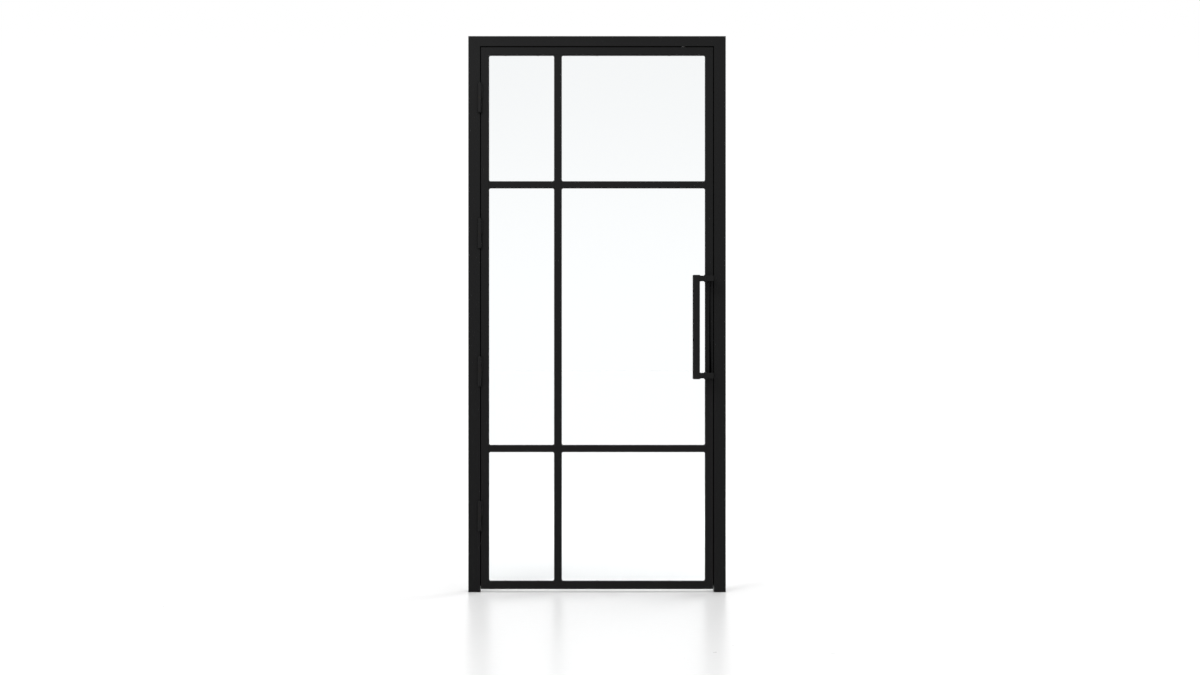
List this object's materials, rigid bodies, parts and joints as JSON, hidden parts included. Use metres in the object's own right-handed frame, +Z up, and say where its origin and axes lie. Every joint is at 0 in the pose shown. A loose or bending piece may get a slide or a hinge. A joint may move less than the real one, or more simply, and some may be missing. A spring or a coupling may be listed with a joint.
{
  "type": "framed glass door",
  "caption": "Narrow steel-framed glass door of six panes in its own frame, hung on slim barrel hinges, with an offset square pull.",
  "frame": {"origin": "on the floor, at the middle of the overall width and depth", "axes": "+X from the hinge side to the lock side, +Y through the door away from the side it opens towards, +Z up"},
  "size_m": [1.014, 0.145, 2.19],
  "materials": {
    "frame_paint": "matt black powder coat",
    "leaf_paint": "matt black powder coat",
    "hinge_paint": "matt black powder coat",
    "pull_paint": "satin black powder coat",
    "clear_glass": "clear toughened glass",
    "seal_rubber": "black extruded seal",
    "gasket_rubber": "black glazing tape",
    "block_plastic": "grey packer",
    "bare_steel": "zinc-plated steel",
    "black_steel": "black-oxide steel screws",
    "washer_brass": "brass, darkened with age"
  },
  "bodies": {
    "frame": {"hinge_jamb": "frame_paint", "lock_jamb": "frame_paint", "frame_head": "frame_paint", "corner_brackets": "bare_steel", "frame_seal": "seal_rubber", "catch_magnet": "bare_steel", "frame_knuckle_1": "hinge_paint", "frame_knuckle_2": "hinge_paint", "frame_knuckle_3": "hinge_paint", "frame_knuckle_4": "hinge_paint", "hinge_pins": "bare_steel", "hinge_washers": "washer_brass"},
    "leaf": {"leaf_hinge_stile": "leaf_paint", "leaf_lock_stile": "leaf_paint", "leaf_top_rail": "leaf_paint", "leaf_bottom_rail": "leaf_paint", "vertical_bar": "leaf_paint", "cross_bar_lower_left": "leaf_paint", "cross_bar_lower_right": "leaf_paint", "cross_bar_upper_left": "leaf_paint", "cross_bar_upper_right": "leaf_paint", "glass_lower_left": "clear_glass", "glass_lower_right": "clear_glass", "glass_middle_left": "clear_glass", "glass_middle_right": "clear_glass", "glass_upper_left": "clear_glass", "glass_upper_right": "clear_glass", "beads_lower_left": "leaf_paint", "beads_lower_right": "leaf_paint", "beads_middle_left": "leaf_paint", "beads_middle_right": "leaf_paint", "beads_upper_left": "leaf_paint", "beads_upper_right": "leaf_paint", "front_gaskets": "gasket_rubber", "back_gaskets": "gasket_rubber", "setting_blocks": "block_plastic", "bead_screws": "black_steel", "leaf_knuckle_1": "hinge_paint", "leaf_knuckle_2": "hinge_paint", "leaf_knuckle_3": "hinge_paint", "leaf_knuckle_4": "hinge_paint", "pull_grip": "pull_paint", "pull_collars": "pull_paint", "pull_posts": "pull_paint", "pull_arm_screws": "black_steel", "pull_bolts": "bare_steel", "pull_washers": "bare_steel"}
  },
  "joints": [
    {"name": "door_swing", "type": "hinge", "parent": "frame", "child": "leaf", "pos_m": [-0.4617, -0.0063, 1.095], "axis": [0, 0, -1], "range_deg": [0, 170]}
  ]
}
